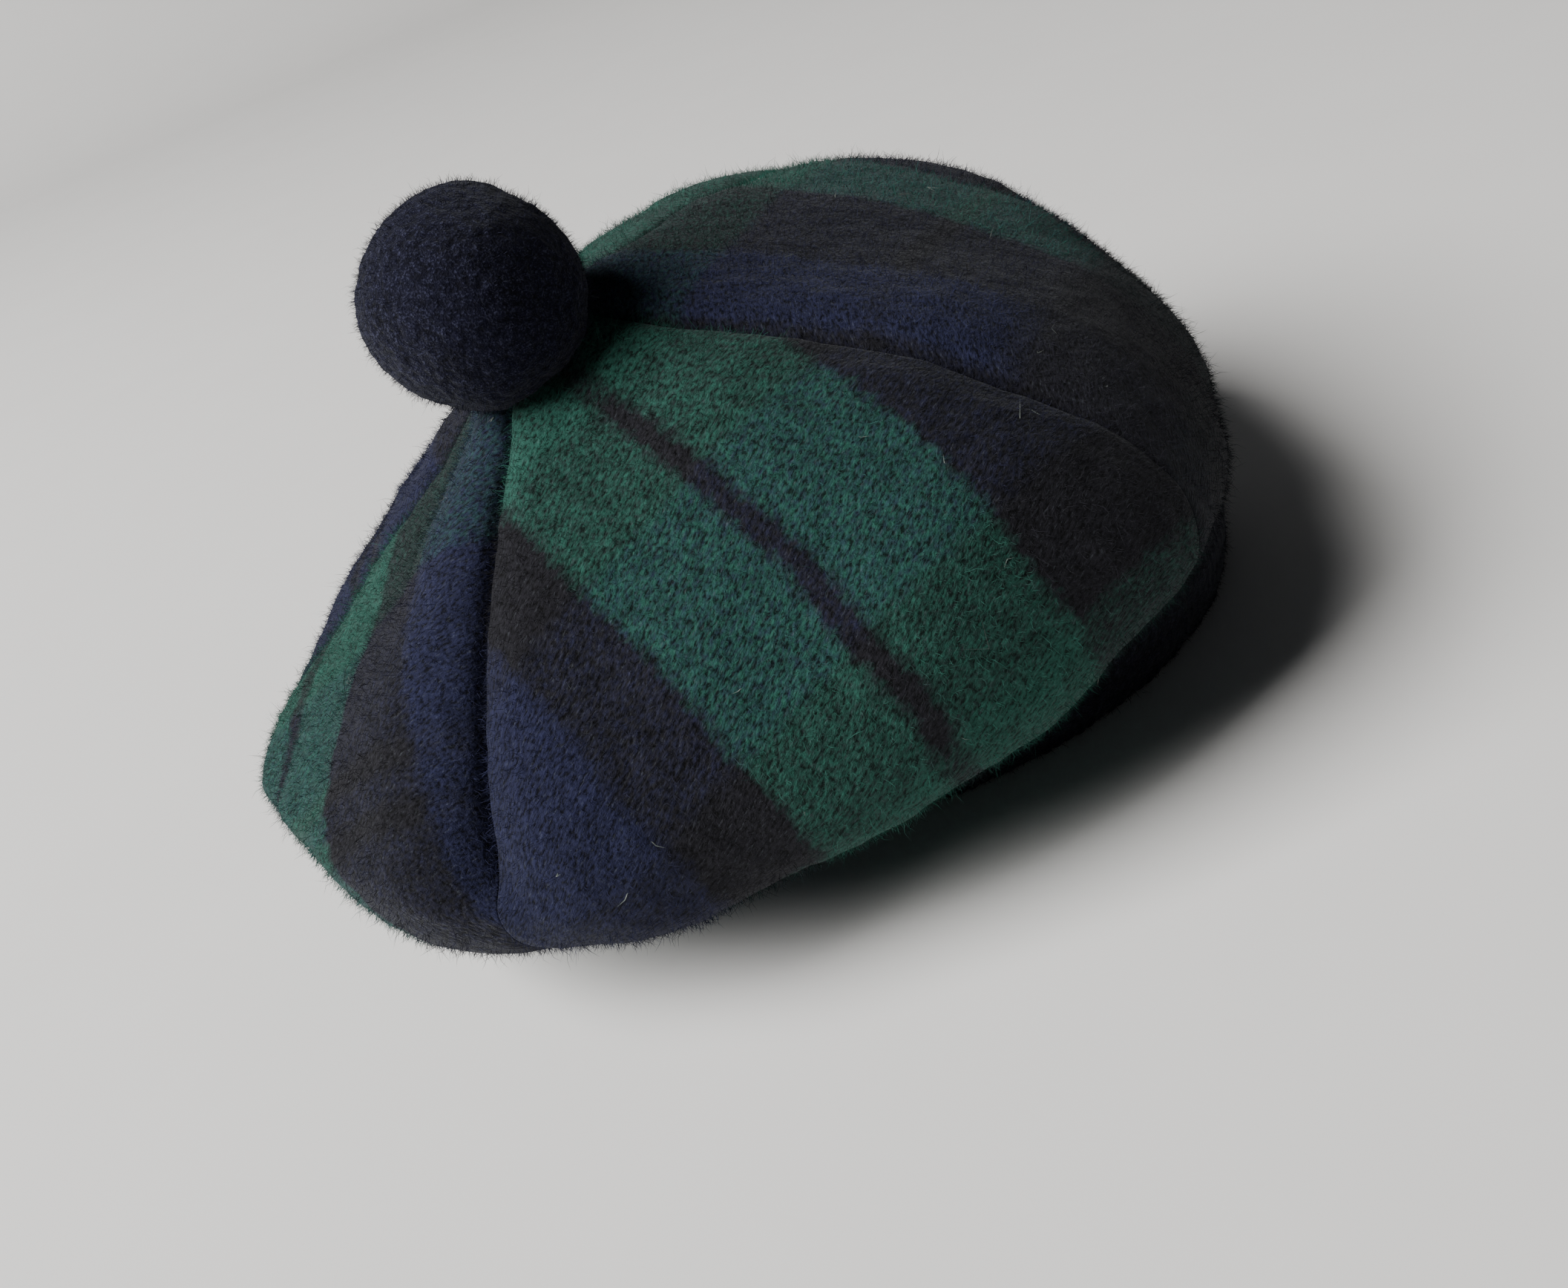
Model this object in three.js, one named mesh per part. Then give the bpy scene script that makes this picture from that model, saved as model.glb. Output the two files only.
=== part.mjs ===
// A tam o' shanter in fulled wool check: a wide soft crown of four gores, puffed between
// its seams and set back over an oval knitted headband, with a felt pompom where the seams meet.
//
// Millimetres. +X is the wearer's front, +Y the wearer's left, +Z up. The hat rests on the
// headband, and the origin is under the middle of its whole box.
//
// The crown is one surface with two coordinates. "turn" is the direction about the pole, the
// point where the seams meet, in radians from the front towards the wearer's left. "along"
// runs from 0 at the pole over 1 at the rim to 2 at the headband.
import * as THREE from "three";
import { mergeVertices } from "three/addons/utils/BufferGeometryUtils.js";

// ---------------------------------------------------------------- driving sizes

const GAP = 0.3; // between neighbouring pieces
const CLOTH = 2.5; // thickness of the fulled cloth

const BAND = {
  halfLength: 100, // outside, front to back
  halfWidth: 83, // outside, side to side
  height: 28.5,
  wall: 4.5, // the knitted band is two layers thick
  swell: 2, // how far its middle stands out
};

const POLE = { x: -70, y: -16, z: 145, peak: 4, peakSpread: 30 };

const POMPOM = {
  radius: 26,
  stretch: 1.05, // length over width, along its lean
  lean: new THREE.Vector3(-10, -10, 9.5), // from the pole to its middle
  clearance: 1.2, // between its flattened side and the crown that it lies on
};

const JOINT_INSET = 2.5; // from the headband's outside to the crown's edge on top of it
const LEDGE = 1.8; // how far that edge then reaches in over the headband
const TUCK = 0.35; // where the underside levels out, as a part of its overhang
const TUCK_RISE = 0.35; // how far it has risen to the joint there
const SHOULDER_REACH = 0.5; // how far out the upper curve's first handle lies
const FIRST_RING = 0.035; // "along" of the gores' tips, hidden under the pompom

// The crown's outline, one row for each eighth of a turn about the pole, from the front.
// reach: pole to rim. rimHeight: the rim above the floor. shoulder: how steeply the cloth
// stands up from the rim. fall: how early it drops away from the pole, as a part of the
// height. underside: how low the cloth hangs below the rim.
const SECTIONS = [
  { reach: 165, rimHeight: 60, shoulder: 40, fall: -0.05, underside: 50 }, // front
  { reach: 186, rimHeight: 70, shoulder: 55, fall: -0.1, underside: 31 },
  { reach: 134, rimHeight: 58, shoulder: 32, fall: 0.28, underside: 22 }, // left
  { reach: 138, rimHeight: 34, shoulder: 16, fall: 0.37, underside: 14 },
  { reach: 108, rimHeight: 50, shoulder: 3, fall: 0.55, underside: 9 }, // back
  { reach: 113, rimHeight: 52, shoulder: 19, fall: 0.2, underside: 16 },
  { reach: 110, rimHeight: 50, shoulder: 33, fall: 0.22, underside: 27 }, // right
  { reach: 144, rimHeight: 62, shoulder: 40, fall: 0.08, underside: 44 },
];

// The four seams, by turn in degrees. depth and width: the valley along the seam. end: the
// "along" where the valley runs out. pucker: how far the cloth is drawn in there.
const SEAMS = [
  { turn: -128, depth: 7, width: 7, end: 0.9, pucker: 4 },
  { turn: -42, depth: 4, width: 7, end: 0.7, pucker: 0 },
  { turn: 39, depth: 5, width: 7, end: 1.1, pucker: 2 },
  { turn: 145, depth: 5, width: 8, end: 0.9, pucker: -2 },
];

// The gores, each between the seam of its own row and the next one.
const GORES = [
  { name: "gore_near", puff: 4, colour: 0x1f4a40 },
  { name: "gore_front", puff: 4, colour: 0x1d2140 },
  { name: "gore_far", puff: 4, colour: 0x1c3f38 },
  { name: "gore_back", puff: 4, colour: 0x20264c },
];

const SEAM_START = { from: 0.03, full: 0.25 }; // "along" where each valley deepens
const SEAM_FADE = { before: 0.15, after: 0.1 }; // round each valley's end
const PUCKER = { width: 12, length: 0.12 }; // in mm across, in "along" down
const PUFF_END = 1.5; // "along" where the puff has gone, under the rim

const MESH = { columns: 16, rows: 24, crowding: 0.7, bandSteps: 56, ballSteps: 24 };

// ---------------------------------------------------------------- small maths

const TURN = 2 * Math.PI;

function smoothStep(value, from, to) {
  const t = THREE.MathUtils.clamp((value - from) / (to - from), 0, 1);
  return t * t * (3 - 2 * t);
}

// The smooth closed wave that passes through a column's values, evenly spaced round a turn.
function waveThrough(column) {
  const values = SECTIONS.map((row) => row[column]);
  const count = values.length;
  const mean = values.reduce((sum, value) => sum + value, 0) / count;
  const terms = [];
  for (let order = 1; order <= count / 2; order++) {
    const share = order === count / 2 ? 1 / count : 2 / count;
    let cosine = 0;
    let sine = 0;
    values.forEach((value, row) => {
      const angle = (TURN * order * row) / count;
      cosine += share * value * Math.cos(angle);
      sine += share * value * Math.sin(angle);
    });
    terms.push({ order, cosine, sine: order === count / 2 ? 0 : sine });
  }
  return (turn) =>
    terms.reduce(
      (sum, t) => sum + t.cosine * Math.cos(t.order * turn) + t.sine * Math.sin(t.order * turn),
      mean,
    );
}

const outline = {
  reach: waveThrough("reach"),
  rimHeight: waveThrough("rimHeight"),
  shoulder: waveThrough("shoulder"),
  fall: waveThrough("fall"),
  underside: waveThrough("underside"),
};

// The four weights of a cubic curve's control points.
function cubicWeights(t) {
  const s = 1 - t;
  return [s * s * s, 3 * t * s * s, 3 * t * t * s, t * t * t];
}

// The headband's outside radius in a direction from its middle.
function bandRadius(angle) {
  return 1 / Math.hypot(Math.cos(angle) / BAND.halfLength, Math.sin(angle) / BAND.halfWidth);
}

// ---------------------------------------------------------------- the crown's surface

// A point of the crown before seams and puffs.
function plainPoint(turn, along) {
  const reach = outline.reach(turn);
  const rimHeight = outline.rimHeight(turn);
  const rimX = POLE.x + reach * Math.cos(turn);
  const rimY = POLE.y + reach * Math.sin(turn);
  if (along <= 1) {
    const [pole, first, second, rim] = cubicWeights(Math.max(along, 0));
    const out = first * SHOULDER_REACH + second + rim;
    const top = POLE.z - POLE.peak;
    const firstHeight = top - outline.fall(turn) * (top - rimHeight);
    const height =
      pole * top +
      first * firstHeight +
      second * (rimHeight + outline.shoulder(turn)) +
      rim * rimHeight +
      POLE.peak * Math.exp((-out * reach) / POLE.peakSpread);
    return new THREE.Vector3(
      POLE.x + (rimX - POLE.x) * out,
      POLE.y + (rimY - POLE.y) * out,
      height,
    );
  }
  const [rim, first, second, joint] = cubicWeights(Math.min(along - 1, 1));
  const angle = Math.atan2(rimY, rimX);
  const jointX = (bandRadius(angle) - JOINT_INSET) * Math.cos(angle);
  const jointY = (bandRadius(angle) - JOINT_INSET) * Math.sin(angle);
  const jointHeight = BAND.height + GAP;
  const tuckX = jointX + (rimX - jointX) * TUCK;
  const tuckY = jointY + (rimY - jointY) * TUCK;
  const underside = outline.underside(turn);
  const tuckHeight = THREE.MathUtils.lerp(underside, jointHeight, TUCK_RISE);
  return new THREE.Vector3(
    (rim + first) * rimX + second * tuckX + joint * jointX,
    (rim + first) * rimY + second * tuckY + joint * jointY,
    rim * rimHeight + first * underside + second * tuckHeight + joint * jointHeight,
  );
}

// The direction out of the cloth there.
function outward(turn, along) {
  const step = 0.02;
  const at = THREE.MathUtils.clamp(along, 2 * step, 2 - step);
  const across = plainPoint(turn + step, at).sub(plainPoint(turn - step, at));
  const down = plainPoint(turn, at + step).sub(plainPoint(turn, at - step));
  return down.cross(across).normalize();
}

const seamTurns = SEAMS.map((seam) => THREE.MathUtils.degToRad(seam.turn));

// How far a gore's next seam lies round from its own.
function goreSpan(index) {
  const next = seamTurns[(index + 1) % seamTurns.length];
  return THREE.MathUtils.euclideanModulo(next - seamTurns[index], TURN);
}

// How far the finished cloth stands out from the plain surface, over one gore.
function relief(index, turn, along) {
  const across = (turn - seamTurns[index]) / goreSpan(index);
  const swell = Math.sin(Math.PI * THREE.MathUtils.clamp(along / PUFF_END, 0, 1));
  let height = GORES[index].puff * 4 * across * (1 - across) * swell;
  const arm = outline.reach(turn) * Math.sin((Math.PI / 2) * Math.min(along, 1));
  SEAMS.forEach((seam, i) => {
    const away = turn - seamTurns[i];
    const distance = Math.abs(Math.atan2(Math.sin(away), Math.cos(away))) * arm;
    const opens = smoothStep(along, SEAM_START.from, SEAM_START.full);
    const fades = smoothStep(along, seam.end - SEAM_FADE.before, seam.end + SEAM_FADE.after);
    height -= seam.depth * opens * (1 - fades) * Math.exp(-distance / seam.width);
    const down = (along - seam.end) / PUCKER.length;
    height -= seam.pucker * Math.exp(-((distance / PUCKER.width) ** 2) - down * down);
  });
  return height;
}

// ---------------------------------------------------------------- pieces

// A closed mesh with each shared corner kept once.
function closedMesh(name, geometry, finish) {
  geometry.deleteAttribute("normal");
  geometry.deleteAttribute("uv");
  const closed = mergeVertices(geometry, 1e-4);
  closed.computeVertexNormals();
  const mesh = new THREE.Mesh(closed, new THREE.MeshStandardMaterial(finish));
  mesh.name = name;
  return mesh;
}

// Moves every vertex of a geometry to where place(x, y, z) says.
function reshape(geometry, place) {
  const position = geometry.getAttribute("position");
  for (let i = 0; i < position.count; i++) {
    const moved = place(position.getX(i), position.getY(i), position.getZ(i));
    position.setXYZ(i, moved.x, moved.y, moved.z);
  }
  return geometry;
}

// A gore: a flat slab bent onto the crown between two seams. Its x runs from seam to seam,
// its y from the pole down to the headband, and its two z faces are the cloth's outside
// and inside.
function gore(index) {
  const span = goreSpan(index);
  const slab = new THREE.BoxGeometry(1, 1, 1, MESH.columns, MESH.rows, 1);
  reshape(slab, (x, y, z) => {
    const column = x + 0.5;
    const row = (0.5 - y) * MESH.rows;
    const crowded = column - (MESH.crowding * Math.sin(TURN * column)) / TURN;
    const onLedge = row > MESH.rows - 0.5;
    const share = Math.min(row / (MESH.rows - 1), 1);
    const along = FIRST_RING + (2 - FIRST_RING) * share;
    const middle = seamTurns[index] + span * crowded;
    const speed = plainPoint(middle + 0.01, along).distanceTo(plainPoint(middle - 0.01, along));
    const halfGap = GAP / 2 / (speed / 0.02);
    const turn = middle + halfGap * (1 - 2 * crowded);
    const point = plainPoint(turn, along);
    const normal = outward(turn, along);
    point.addScaledVector(normal, relief(index, turn, along));
    if (onLedge) {
      const inwards = new THREE.Vector3(point.x, point.y, 0).normalize();
      point.addScaledVector(inwards, -LEDGE);
      normal.set(0, 0, -1);
    }
    return point.addScaledVector(normal, z > 0 ? 0 : -CLOTH);
  });
  const finish = { color: GORES[index].colour, roughness: 0.95, metalness: 0 };
  return closedMesh(GORES[index].name, slab, finish);
}

// The headband: a section with a flat foot and a swollen outside, turned round the oval.
function headband() {
  const { height, wall, swell } = BAND;
  const section = [
    [-wall, 0],
    [-0.6, 0],
    [swell * 0.6, height * 0.12],
    [swell, height * 0.4],
    [swell * 0.8, height * 0.75],
    [-0.6, height * 0.93],
    [-2.4, height],
    [-wall, height],
    [-wall + 0.4, height * 0.5],
    [-wall, 0],
  ];
  const profile = section.map(([out, z]) => new THREE.Vector2(BAND.halfWidth + out, z));
  const ring = new THREE.LatheGeometry(profile, MESH.bandSteps);
  ring.rotateX(Math.PI / 2);
  reshape(ring, (x, y, z) => {
    const angle = Math.atan2(y, x);
    const radius = bandRadius(angle) + Math.hypot(x, y) - BAND.halfWidth;
    return new THREE.Vector3(radius * Math.cos(angle), radius * Math.sin(angle), z);
  });
  return closedMesh("headband", ring, { color: 0x14172c, roughness: 0.97, metalness: 0 });
}

// The gore that a turn falls in.
function goreAt(turn) {
  return GORES.findIndex((_, i) => {
    return THREE.MathUtils.euclideanModulo(turn - seamTurns[i], TURN) < goreSpan(i);
  });
}

// The crown's height over a place near the pole: the "along" whose reach meets it is found
// by halving.
function crownHeight(x, y) {
  const turn = Math.atan2(y - POLE.y, x - POLE.x);
  const distance = Math.hypot(x - POLE.x, y - POLE.y);
  let low = 0;
  let high = 1;
  for (let halving = 0; halving < 20; halving++) {
    const along = (low + high) / 2;
    const point = plainPoint(turn, along);
    if (Math.hypot(point.x - POLE.x, point.y - POLE.y) < distance) low = along;
    else high = along;
  }
  const index = goreAt(turn);
  const started = seamTurns[index] + THREE.MathUtils.euclideanModulo(turn - seamTurns[index], TURN);
  const point = plainPoint(turn, low);
  return point.addScaledVector(outward(turn, low), relief(index, started, low)).z;
}

// The pompom: a ball drawn out a little along its lean, and flattened where it lies on the
// crown.
function pompom() {
  const { radius, stretch, lean, clearance } = POMPOM;
  const axis = lean.clone().normalize();
  const middle = new THREE.Vector3(POLE.x, POLE.y, POLE.z).add(lean);
  const ball = new THREE.SphereGeometry(radius, MESH.ballSteps, (MESH.ballSteps * 2) / 3);
  reshape(ball, (x, y, z) => {
    const point = new THREE.Vector3(x, y, z);
    point.addScaledVector(axis, point.dot(axis) * (stretch - 1)).add(middle);
    const sunk = crownHeight(point.x, point.y) + clearance - point.z;
    point.z += Math.max(sunk, 0);
    return point;
  });
  return closedMesh("pompom", ball, { color: 0x171b38, roughness: 0.98, metalness: 0 });
}

// ---------------------------------------------------------------- the hat

const hat = new THREE.Group();
GORES.forEach((row, index) => hat.add(gore(index)));
hat.add(headband());
hat.add(pompom());

const box = new THREE.Box3().setFromObject(hat);
const centre = box.getCenter(new THREE.Vector3());
hat.position.set(-centre.x, -centre.y, -box.min.z);

export default hat;
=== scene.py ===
"""A tam o' shanter in fulled wool check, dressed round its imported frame.

The crown is four gores of brushed cloth, puffed between their seams and set back over a
fulled knitted headband, with a felt pompom where the seams meet. Metres, +X is the
wearer's front, +Y the wearer's left, +Z up, and the hat rests on its headband.

The crown is one surface with two coordinates. "turn" is the direction about the pole, the
point where the seams meet, from the front towards the wearer's left. "along" runs from 0
at the pole over 1 at the rim to 2 at the headband. The cloth itself has a UV map, CLOTH_MAP,
in metres: across each gore from its middle line, and down it from the pole.
"""

import logging
import math
from dataclasses import dataclass
from enum import Enum
from typing import Any, Iterable, NamedTuple, Sequence

import bmesh
import bpy
import numpy as np
from bpy.types import Material, Mesh, NodeSocket, Object
from mathutils import Matrix, Vector


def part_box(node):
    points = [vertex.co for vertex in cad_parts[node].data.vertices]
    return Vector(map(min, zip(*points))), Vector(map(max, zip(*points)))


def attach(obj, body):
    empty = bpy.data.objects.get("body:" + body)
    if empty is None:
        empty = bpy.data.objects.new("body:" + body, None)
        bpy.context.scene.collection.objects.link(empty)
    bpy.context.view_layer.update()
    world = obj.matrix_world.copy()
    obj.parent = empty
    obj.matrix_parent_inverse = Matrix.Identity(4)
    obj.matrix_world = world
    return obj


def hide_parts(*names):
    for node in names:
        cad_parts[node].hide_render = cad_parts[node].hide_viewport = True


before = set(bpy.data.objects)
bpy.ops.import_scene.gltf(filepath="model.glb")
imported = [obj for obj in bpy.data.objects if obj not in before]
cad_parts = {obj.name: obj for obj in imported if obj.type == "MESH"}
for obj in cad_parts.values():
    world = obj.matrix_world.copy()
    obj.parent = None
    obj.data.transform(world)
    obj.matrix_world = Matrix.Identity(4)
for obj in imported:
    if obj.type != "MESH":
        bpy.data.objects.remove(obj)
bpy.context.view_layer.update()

MM = 0.001
TURN = 2 * math.pi
BODY = "root"
FLOOR_CLEAR = 0.05 * MM  # how far loose fibres stay over the floor
ROOTED = 0.3 * MM  # how deep a loose fibre starts
FIBRE_PATCH = 0.002  # half the side of a fibre's patch on the bake map
CLOTH_MAP = "Cloth"
BAKE_MAP = "OFBake"
Array = np.ndarray
Pair = tuple[float, float]
Triple = tuple[float, float, float]
Colour = tuple[float, float, float, float]
log = logging.getLogger("tam")


# ------------------------ small maths


def smooth_step(value: Array, low: float, high: float) -> Array:
    """A soft step from 0 at low to 1 at high."""
    t = np.clip((value - low) / (high - low), 0, 1)
    return t * t * (3 - 2 * t)


def cubic_weights(t: Array) -> tuple[Array, Array, Array, Array]:
    """The weights of a cubic curve's four control points at t."""
    s = 1 - t
    return s**3, 3 * t * s * s, 3 * t * t * s, t**3


def unit(vectors: Array) -> Array:
    """The vectors, each with its length made 1."""
    return vectors / np.maximum(np.linalg.norm(vectors, axis=-1, keepdims=True), 1e-12)


def run(places: Array, axis: int) -> Array:
    """How far each place of a grid is along its line, from the line's start."""
    steps = np.linalg.norm(np.diff(places, axis=axis), axis=-1).cumsum(axis)
    return np.concatenate([np.zeros_like(steps.take([0], axis)), steps], axis)


class Ripple:
    """A seeded field of soft random bumps in space, made of a few dozen plane waves."""

    def __init__(self, size: float, seed: int, waves: int = 28) -> None:
        """Draws the waves.

        Args:
            size: the usual distance from one bump to the next, in metres.
            seed: the seed of the draw.
            waves: how many waves are added up.
        """
        random = np.random.default_rng(seed)
        self.paths = unit(random.normal(size=(waves, 3))) * TURN / size
        self.paths *= random.uniform(0.6, 1.5, (waves, 1))
        self.phases = random.uniform(0, TURN, waves)

    def at(self, points: Array) -> Array:
        """The height of the field at each point, mostly between -1 and 1.

        Args:
            points: places in metres, with the three coordinates on the last axis.

        Returns:
            One number for each point.
        """
        total = np.zeros(points.shape[:-1])
        for path, phase in zip(self.paths, self.phases):
            total += np.sin(points @ path + phase)
        return total * math.sqrt(2 / len(self.phases)) * 0.7


# ------------------------ shader workbench

Value = Any  # a number, a colour tuple, a Level, a node's socket or a node


class Level:
    """A number that varies over a surface: arithmetic on it adds Math nodes."""

    def __init__(self, bench: "Bench", socket: NodeSocket) -> None:
        """Wraps a socket of the bench's tree."""
        self.bench = bench
        self.socket = socket

    def _with(self, operation: str, *values: Value) -> "Level":
        """One Math node on these values."""
        inputs = dict(enumerate(values))
        return self.bench.level("ShaderNodeMath", {"operation": operation}, inputs)

    def __add__(self, other: Value) -> "Level":
        """self + other."""
        return self._with("ADD", self, other)

    __radd__ = __add__

    def __sub__(self, other: Value) -> "Level":
        """self - other."""
        return self._with("SUBTRACT", self, other)

    def __rsub__(self, other: Value) -> "Level":
        """other - self."""
        return self._with("SUBTRACT", other, self)

    def __mul__(self, other: Value) -> "Level":
        """self * other."""
        return self._with("MULTIPLY", self, other)

    __rmul__ = __mul__

    def highest(self, other: Value) -> "Level":
        """The higher of the two."""
        return self._with("MAXIMUM", self, other)

    def step(self, place: float, softness: float) -> "Level":
        """0 below a place and 1 above it, with a ramp as long as the softness between."""
        settings = {"operation": "MULTIPLY_ADD", "use_clamp": True}
        inputs = {0: self, 1: 1 / softness, 2: 0.5 - place / softness}
        return self.bench.level("ShaderNodeMath", settings, inputs)


class Bench:
    """One material's node tree while it is made."""

    def __init__(self, name: str) -> None:
        """Starts an empty material."""
        self.material = bpy.data.materials.new(name)
        self.material.use_nodes = True
        self.material.node_tree.nodes.clear()

    @staticmethod
    def _find(sockets: Iterable[NodeSocket], key: str | int) -> NodeSocket:
        """The socket at an index, or with that identifier or name."""
        if isinstance(key, int):
            return sockets[key]
        return next(s for s in sockets if key in (s.identifier, s.name))

    def node(
        self,
        kind: str,
        settings: dict[str, Any] | None = None,
        inputs: dict[str | int, Value] | None = None,
    ) -> bpy.types.Node:
        """Adds a node.

        Args:
            kind: the node's type.
            settings: its own properties, which are set first.
            inputs: values or links of its sockets, by index, identifier or name.

        Returns:
            The new node.
        """
        made = self.material.node_tree.nodes.new(kind)
        for key, value in (settings or {}).items():
            setattr(made, key, value)
        for key, value in (inputs or {}).items():
            socket = self._find(made.inputs, key)
            source = value.socket if isinstance(value, Level) else value
            if isinstance(source, NodeSocket):
                self.material.node_tree.links.new(source, socket)
            elif socket.type == "VECTOR":
                socket.default_value = source[:3]
            else:
                socket.default_value = source
        return made

    def level(self, kind: str, settings: dict[str, Any], inputs: dict[str | int, Value]) -> Level:
        """Adds a node and wraps its first output."""
        return Level(self, self.node(kind, settings, inputs).outputs[0])

    def mix(self, low: Value, high: Value, share: Value) -> NodeSocket:
        """Blends two colours: low where the share is 0, high where it is 1."""
        inputs = {"Factor_Float": share, "A_Color": low, "B_Color": high}
        made = self.node("ShaderNodeMix", {"data_type": "RGBA"}, inputs)
        return self._find(made.outputs, "Result_Color")

    def dim(self, colour: Value, amount: Level) -> NodeSocket:
        """A colour times a level."""
        settings = {"operation": "SCALE"}
        return self.node("ShaderNodeVectorMath", settings, {0: colour, "Scale": amount}).outputs[0]

    def noise(self, place: Value, grain: float, detail: float = 2.0) -> Level:
        """Soft random noise about 0.5.

        Args:
            place: the coordinates that it reads.
            grain: the size of its features, in the coordinates' unit.
            detail: how many finer octaves it has.

        Returns:
            The noise's value.
        """
        inputs = {"Vector": place, "Scale": 1 / grain, "Detail": detail, "Roughness": 0.6}
        return self.level("ShaderNodeTexNoise", {"noise_dimensions": "3D"}, inputs)

    def point(self, x: Value, y: Value, z: Value = 0.0) -> NodeSocket:
        """A vector made of three levels."""
        return self.node("ShaderNodeCombineXYZ", None, {0: x, 1: y, 2: z}).outputs[0]

    def object_place(self) -> NodeSocket:
        """The place on the piece, in metres."""
        return self.node("ShaderNodeTexCoord").outputs["Object"]

    def cloth_place(self) -> tuple[Level, Level]:
        """The place on the cloth: across the gore and down it, in millimetres."""
        cloth = self.node("ShaderNodeUVMap", {"uv_map": CLOTH_MAP}).outputs[0]
        parts = self.node("ShaderNodeSeparateXYZ", None, {0: cloth})
        across, down = (Level(self, parts.outputs[i]) * 1000.0 for i in (0, 1))
        return across, down

    def wool(
        self,
        colour: Value,
        roughness: Value,
        sheen: float,
        height: Level | None = None,
        depth: float = 0.0,
    ) -> Material:
        """Ends the tree in a wool shader.

        Args:
            colour: the base colour.
            roughness: the roughness, a number or a level.
            sheen: the weight of the sheen.
            height: the bump's height, from 0 to 1, if there is one.
            depth: how deep that bump is, in metres.

        Returns:
            The finished material.
        """
        inputs: dict[str | int, Value] = {
            "Base Color": colour,
            "Roughness": roughness,
            "IOR": 1.42,
            "Specular IOR Level": 0.18,
            "Sheen Weight": sheen,
            "Sheen Roughness": 0.45,
            "Sheen Tint": (0.72, 0.76, 0.82, 1.0),
        }
        if height is not None:
            bumped = {"Strength": 1.0, "Distance": depth, "Height": height}
            inputs["Normal"] = self.node("ShaderNodeBump", None, bumped).outputs[0]
        shader = self.node("ShaderNodeBsdfPrincipled", None, inputs)
        self.node("ShaderNodeOutputMaterial", None, {"Surface": shader.outputs[0]})
        return self.material


# ------------------------ finishes


class Yarn(Enum):
    """The dyed yarns of the check, as linear colours."""

    GREEN = (0.0145, 0.062, 0.047, 1.0)
    NAVY = (0.012, 0.0134, 0.036, 1.0)
    BLACK = (0.0088, 0.0085, 0.0115, 1.0)


class Stripe(NamedTuple):
    """A stripe of the check: where it starts across the cloth, in mm, and its yarn."""

    start: float
    yarn: Yarn


G, N, K = Yarn.GREEN, Yarn.NAVY, Yarn.BLACK
LOOSE_WOOL = (0.15, 0.17, 0.2, 1.0)


def stripes(*rows: tuple[float, Yarn]) -> tuple[Stripe, ...]:
    """A row of stripes, each from its start to the next."""
    return tuple(Stripe(*row) for row in rows)


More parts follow.
